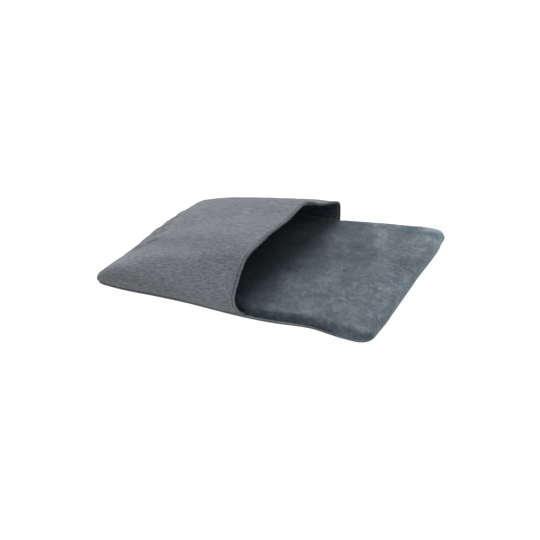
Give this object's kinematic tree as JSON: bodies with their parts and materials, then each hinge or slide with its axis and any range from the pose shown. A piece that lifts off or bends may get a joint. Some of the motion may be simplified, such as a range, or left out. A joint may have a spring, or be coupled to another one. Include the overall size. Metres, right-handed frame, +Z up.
{
  "type": "hooded pocket cushion",
  "caption": "Padded velvet-topped mat with a wadded, lined cloth hood sewn over its closed end, leaving a pocket that opens towards the bare half.",
  "frame": {"origin": "centre of the underside, on the plane the cushion rests on", "axes": "+X from the closed, hooded end to the open end; +Y to the back; +Z up"},
  "size_m": [0.5622, 0.5319, 0.1261],
  "materials": {
    "woven_cloth": "heather grey woven cloth, matt",
    "velvet": "brushed short-pile velvet, smoky blue grey",
    "wadding": "white polyester wadding",
    "foam": "cream open-cell foam",
    "thread": "grey polyester sewing thread"
  },
  "bodies": {
    "root": {"base_cloth": "woven_cloth", "rim_welt": "woven_cloth", "top_cloth": "velvet", "wadding_wrap": "wadding", "foam_core": "foam", "hood_outer_cloth": "woven_cloth", "hood_wadding": "wadding", "hood_lining": "velvet", "mouth_binding": "woven_cloth", "mouth_topstitch": "thread", "rim_stitching": "thread", "mouth_bar_tacks": "thread"}
  },
  "joints": []
}
